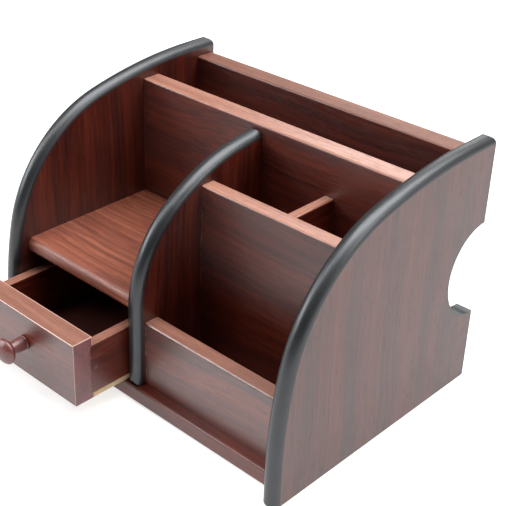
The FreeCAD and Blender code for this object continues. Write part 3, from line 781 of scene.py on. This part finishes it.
@dataclass(frozen=True)
class TurnedKnob:
    """Turned wood under burgundy lacquer: faint grain and tool rings under a clear gloss.

    Attributes:
        piece: The piece's name.
        lacquer: Its colours.
        rough: Its least and most roughness.
        relief: The height of the tool rings, in millimetres.
        relief_share: How much of their tilt shows through the lacquer.
        ior: The lacquer's index of refraction.
    """

    piece: str
    lacquer: Stops = (
        (0.3, (0.070, 0.012, 0.011)), (0.5, (0.120, 0.024, 0.021)), (0.7, (0.17, 0.042, 0.036))
    )
    rough: Span = (0.30, 0.46)
    relief: float = 0.03
    relief_share: float = 0.5
    ior: float = 1.75

    def material(self) -> bpy.types.Material:
        """Builds the knob's material.

        Returns:
            The material.
        """
        graph = Graph(f"lacquer_{self.piece}")
        along = graph.scaled(graph.place(), Grain.DEPTH.stretch(60.0, 700.0))
        grain = graph.noise(along, 3.0, 0.6).outputs[0]
        turned = graph.scaled(graph.place(), Grain.DEPTH.stretch(1600.0, 10.0))
        rings = graph.noise(turned, 1.0).outputs[0]
        return graph.finish(
            Base_Color=graph.ramp(grain, self.lacquer),
            Roughness=graph.spread(grain, *self.rough),
            Normal=graph.bump(rings, self.relief, self.relief_share),
            IOR=self.ior,
        )


@dataclass(frozen=True)
class BrightSteel:
    """Zinc plated steel: fine turning marks and a mottled plating.

    Attributes:
        piece: The piece's name.
        dull: The plating's darkest colour.
        bright: The plating's lightest colour.
        rough: Its least and most roughness.
        relief: The height of the turning marks, in millimetres.
        relief_share: How much of their tilt shows.
    """

    piece: str
    dull: Colour = (0.46, 0.45, 0.42)
    bright: Colour = (0.68, 0.68, 0.66)
    rough: Span = (0.24, 0.48)
    relief: float = 0.02
    relief_share: float = 0.5

    def material(self) -> bpy.types.Material:
        """Builds the fastener's material.

        Returns:
            The material.
        """
        graph = Graph(f"zinc_{self.piece}")
        plating = graph.noise(graph.evenly(900.0), 3.0, 0.6).outputs[0]
        turned = graph.scaled(graph.place(), Grain.UPRIGHT.stretch(500.0, 2600.0))
        marks = graph.noise(turned, 1.0).outputs[0]
        return graph.finish(
            Base_Color=graph.ramp(plating, [(0.3, self.dull), (0.7, self.bright)]),
            Metallic=1.0,
            Roughness=graph.spread(plating, *self.rough),
            Normal=graph.bump(marks, self.relief, self.relief_share),
        )


@dataclass(frozen=True)
class Beech:
    """Plain beech dowel: pale, with short darker flecks along its length.

    Attributes:
        piece: The piece's name.
        grain: The direction of its length.
        pale: Its colours.
        rough: Its least and most roughness.
        relief: The height of its grain, in millimetres.
    """

    piece: str
    grain: Grain
    pale: Stops = ((0.32, (0.34, 0.20, 0.11)), (0.5, (0.50, 0.34, 0.20)), (0.7, (0.62, 0.45, 0.29)))
    rough: Span = (0.5, 0.7)
    relief: float = 0.05

    def material(self) -> bpy.types.Material:
        """Builds the dowel's material.

        Returns:
            The material.
        """
        graph = Graph(f"beech_{self.piece}")
        along = graph.scaled(graph.place(), self.grain.stretch(90.0, 1500.0))
        grain = graph.noise(along, 3.0, 0.6).outputs[0]
        return graph.finish(
            Base_Color=graph.ramp(grain, self.pale),
            Roughness=graph.spread(grain, *self.rough),
            Normal=graph.bump(grain, self.relief),
        )


Finish = Laminate | BlackEdging | PaleBoard | TurnedKnob | BrightSteel | Beech


class Assembly:
    """A sub-assembly whose pieces are dressed in their finishes."""

    title = "assembly"

    def finishes(self) -> list[tuple[str, Finish]]:
        """Returns each piece's name with its finish."""
        raise NotImplementedError

    def dress(self, nodes: dict[str, bpy.types.Object]) -> None:
        """Puts each finish on its piece and reports it.

        Args:
            nodes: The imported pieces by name.
        """
        for piece, finish in self.finishes():
            material = finish.material()
            for slot in nodes[piece].material_slots:
                slot.material = material
            LOG.info("%s: %s in %s", self.title, piece, type(finish).__name__)


@dataclass
class Carcass(Assembly):
    """The fixed boards of the stand.

    Attributes:
        top_strip_depth: The depth of the strip along a board's top, partly painted light, in
            millimetres.
    """

    title = "carcass"
    top_strip_depth: float = 0.5

    def finishes(self) -> list[tuple[str, Finish]]:
        """Gives each fixed board its finish.

        Returns:
            Each board's name with its finish.
        """
        across, depth, upright = Grain.ACROSS, Grain.DEPTH, Grain.UPRIGHT
        # The darker copy of the film paints shade on the panels, the divider, the back rail and the
        # pen partition.
        deep = SHADED_MAHOGANY
        # The top strips are partly the boards' lighter cut edges, partly painted light; the half
        # lit and shaded tones paint less light where a top gets less.
        top = (Strip(Side.TOP, self.top_strip_depth),)
        front_top = (Strip(Side.TOP, self.top_strip_depth, HALF_LIT_EDGE_STRIP),)
        dark_top = (Strip(Side.TOP, self.top_strip_depth, SHADED_EDGE_STRIP, rough=0.50),)
        boards = [
            Laminate("left_panel", upright, 1.3, tones=deep, wear=0.0),
            Laminate("right_panel", upright, 4.1, tones=deep, wear=0.0, contrast=1.9, ior=1.74),
            Laminate("middle_divider", upright, 7.7, tones=deep, wear=0.0),
            Laminate("base_board", across, 2.9, wear=0.35),
            Laminate("back_rail", across, 5.3, tones=deep, strips=dark_top, rough=0.42),
            Laminate("tall_partition", across, 8.2, strips=top, sweep=1.6, rough=0.44),
            Laminate("rear_tray_floor", across, 3.3),
            Laminate("pen_partition", across, 6.4, tones=deep, strips=top, sweep=1.3),
            Laminate("pen_slot_divider", depth, 9.1, strips=top),
            Laminate("front_board", across, 11.6, strips=front_top, wear=0.6, ior=2.0),
            # The shelf's lighter copy of the film paints the light that falls on its top.
            Laminate(
                "drawer_shelf", across, 12.4, tones=LIT_MAHOGANY,
                contrast=2.7, bands=0.26, rough=0.46,
            ),
        ]
        return [(finish.board, finish) for finish in boards]


@dataclass
class Edging(Assembly):
    """The black mouldings along the curved edges and the bands down the rear ones.

    Attributes:
        first_seed: The first moulding's seed.
        seed_step: How far the next one's lies from it.
    """

    title = "edging"
    first_seed: float = 2.0
    seed_step: float = 3.7

    def finishes(self) -> list[tuple[str, Finish]]:
        """Gives each moulding its finish.

        Returns:
            Each moulding's name with its finish.
        """
        mouldings = [f"{place}_edging" for place in ("left", "right", "divider")]
        bands = [f"{place}_rear_band" for place in ("left", "right")]
        return [
            (piece, BlackEdging(piece, self.first_seed + self.seed_step * index))
            for index, piece in enumerate(mouldings + bands)
        ]


@dataclass
class Drawer(Assembly):
    """The drawer box, its front and its knob.

    Attributes:
        top_strip_depth: The depth of the strip along a board's top, partly painted light, in
            millimetres.
        end_film: The depth of the strips on the front's ends, in millimetres.
        bared: The colour of the front's worn corners.
    """

    title = "drawer"
    top_strip_depth: float = 0.5
    end_film: float = 0.6
    bared: Colour = (0.55, 0.36, 0.30)

    def finishes(self) -> list[tuple[str, Finish]]:
        """Gives each drawer piece its finish.

        Returns:
            Each piece's name with its finish.
        """
        # The drawer's top strips are partly its lighter cut edges, partly painted light.
        top = (Strip(Side.TOP, self.top_strip_depth, HALF_LIT_EDGE_STRIP),)
        left, right = (
            Strip(side, self.end_film, MAUVE_STRIP, rough=0.52) for side in (Side.LEFT, Side.RIGHT)
        )
        front = Laminate(
            "drawer_front", Grain.ACROSS, 15.8, strips=(left, right) + top,
            wear=0.9, worn=self.bared, gaps=0.10, ior=1.95,
        )
        box = [
            Laminate("drawer_left_side", Grain.DEPTH, 16.3, strips=top),
            Laminate("drawer_right_side", Grain.DEPTH, 17.9, strips=top),
            Laminate("drawer_back", Grain.ACROSS, 18.4, strips=top),
        ]
        pieces: list[tuple[str, Finish]] = [(finish.board, finish) for finish in [front, *box]]
        pieces.append(("drawer_bottom", PaleBoard("drawer_bottom")))
        pieces.append(("drawer_knob", TurnedKnob("drawer_knob")))
        return pieces


@dataclass
class Joinery(Assembly):
    """The dowels, screws, brads and tacks.

    Attributes:
        stained_dull: The darkest colour of the brads' stained heads.
        stained_bright: Their lightest colour.
    """

    title = "joinery"
    stained_dull: Colour = (0.20, 0.13, 0.12)
    stained_bright: Colour = (0.34, 0.24, 0.22)

    def finishes(self) -> list[tuple[str, Finish]]:
        """Gives each set of fasteners its finish.

        Returns:
            Each set's name with its finish.
        """
        dowels = [(f"{place}_dowels", Grain.ACROSS) for place in ("left", "right", "divider")]
        dowels.append(("rear_joint_dowels", Grain.DEPTH))
        steel = ("base_screws", "knob_screw", "drawer_bottom_tacks")
        brads = BrightSteel("drawer_brads", self.stained_dull, self.stained_bright)
        pieces: list[tuple[str, Finish]] = [(name, Beech(name, grain)) for name, grain in dowels]
        pieces += [(name, BrightSteel(name)) for name in steel]
        return pieces + [(brads.piece, brads)]


@dataclass
class Softbox:
    """One rectangular studio light.

    Attributes:
        name: Its name.
        place: Where it stands, in metres.
        size: Its width and height, in metres.
        power: Its power, in watts.
        aim: The point it faces, in metres.
    """

    name: str
    place: Triple
    size: Span
    power: float
    aim: Triple = (0.0, 0.0, 0.06)

    def build(self) -> None:
        """Adds the light to the scene."""
        data = bpy.data.lights.new(self.name, "AREA")
        data.shape = "RECTANGLE"
        data.size, data.size_y = self.size
        data.energy = self.power
        lamp = bpy.data.objects.new(self.name, data)
        lamp.location = self.place
        away = Vector(self.place) - Vector(self.aim)
        lamp.rotation_euler = away.to_track_quat("Z", "Y").to_euler()
        bpy.context.scene.collection.objects.link(lamp)
        LOG.info("studio: %s", self.name)


@dataclass
class Studio:
    """The pale floor, the softboxes, the surroundings and the camera.

    Attributes:
        floor_half: Half the floor's side, in metres.
        floor_tone: The paper's colour.
        fibre_tone: The colour of its faint fibres.
        fibre_span: The paper's share of the colour between and on the fibres.
        fibre_waves: Waves to a metre of the fibres.
        floor_rough: The paper's roughness.
        floor_shine: How much the paper mirrors.
        floor_light: The colour of the light that it gives.
        floor_glow: How strong that light is.
        surroundings: The light of the room.
        azimuth: The camera's turn from the front, in degrees.
        elevation: Its height above the horizon, in degrees.
        roll: How far it leans, in degrees.
        lens: Its focal length, in millimetres.
        sensor: Its sensor's width, in millimetres.
        target: The point it faces, in millimetres.
        distance: How far it stands from that point, in millimetres.
        shift: How far its frame is moved over the sensor.
        nearest: The nearest distance that it sees, in metres.
        boxes: The softboxes.
    """

    floor_half: float = 6.0
    floor_tone: Colour = (0.42, 0.42, 0.42)
    fibre_tone: Colour = (0.5, 0.5, 0.5)
    fibre_span: Span = (0.97, 1.0)
    fibre_waves: float = 260.0
    floor_rough: float = 0.9
    floor_shine: float = 0.2
    floor_light: Colour = (1.0, 1.0, 1.0)
    floor_glow: float = 0.72
    surroundings: Colour = (0.06, 0.062, 0.065)
    azimuth: float = 43.510
    elevation: float = 28.695
    roll: float = 1.410
    lens: float = 80.859
    sensor: float = 36.0
    target: Triple = (16.82, -7.22, 94.14)
    distance: float = 552.03
    shift: Span = (0.0613, -0.0455)
    nearest: float = 0.01
    boxes: list[Softbox] = field(
        default_factory=lambda: [
            Softbox("side_softbox", (-0.82, -0.74, 0.56), (0.75, 0.55), 9.0),
            Softbox("key_softbox", (-0.42, -0.72, 1.25), (0.5, 0.5), 5.5),
            Softbox("rear_softbox", (-0.50, 1.22, 0.78), (0.8, 0.6), 5.0),
            Softbox("right_softbox", (1.15, 0.40, 0.66), (0.5, 0.5), 4.5),
            Softbox("top_softbox", (0.32, 0.27, 1.40), (1.1, 1.7), 45.0),
        ]
    )

    def build(self) -> None:
        """Adds the floor, the surroundings, the lights and the camera."""
        self._floor()
        self._world()
        for box in self.boxes:
            box.build()
        self._camera()
        bpy.context.scene.view_settings.view_transform = "Standard"

    def _floor(self) -> None:
        """Lays the floor: a pale lit table with a faint unevenness in its tone."""
        half = self.floor_half
        corners = [(-half, -half, 0.0), (half, -half, 0.0), (half, half, 0.0), (-half, half, 0.0)]
        mesh = bpy.data.meshes.new("studio_floor")
        mesh.from_pydata(corners, [], [(0, 1, 2, 3)])
        floor = bpy.data.objects.new("studio_floor", mesh)
        bpy.context.scene.collection.objects.link(floor)
        graph = Graph("matt_paper")
        fibres = graph.noise(graph.evenly(self.fibre_waves), 3.0).outputs[0]
        paper = graph.mix(graph.spread(fibres, *self.fibre_span), self.fibre_tone, self.floor_tone)
        mesh.materials.append(
            graph.finish(
                Base_Color=paper,
                Roughness=self.floor_rough,
                Specular_IOR_Level=self.floor_shine,
                Emission_Color=self.floor_light,
                Emission_Strength=self.floor_glow,
            )
        )

    def _world(self) -> None:
        """Sets the light of the room around the part."""
        world = bpy.data.worlds.new("studio")
        world.use_nodes = True
        background = world.node_tree.nodes["Background"]
        background.inputs["Color"].default_value = (*self.surroundings, 1.0)
        bpy.context.scene.world = world

    def _camera(self) -> None:
        """Stands the camera at its angle, rolled and shifted to its framing."""
        turn, lift, lean = (radians(angle) for angle in (self.azimuth, self.elevation, self.roll))
        back = Vector((sin(turn) * cos(lift), -cos(turn) * cos(lift), sin(lift)))
        level = (-back).cross(Vector((0.0, 0.0, 1.0))).normalized()
        upright = level.cross(-back)
        right = level * cos(lean) + upright * sin(lean)
        up = upright * cos(lean) - level * sin(lean)
        data = bpy.data.cameras.new("studio_camera")
        data.lens = self.lens
        data.sensor_width = self.sensor
        data.shift_x, data.shift_y = self.shift
        data.clip_start = self.nearest
        camera = bpy.data.objects.new("studio_camera", data)
        stand = Vector(self.target) * MM + back * self.distance * MM
        facing = Matrix((right, up, back)).transposed().to_4x4()
        camera.matrix_world = Matrix.Translation(stand) @ facing
        bpy.context.scene.collection.objects.link(camera)
        bpy.context.scene.camera = camera


def main() -> None:
    """Dresses the part and sets up the studio."""
    logging.basicConfig(level=logging.INFO, format="%(message)s")
    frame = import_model()
    for assembly in (Carcass(), Edging(), Drawer(), Joinery()):
        assembly.dress(frame["nodes"])
    Studio().build()


if __name__ == "__main__":
    main()
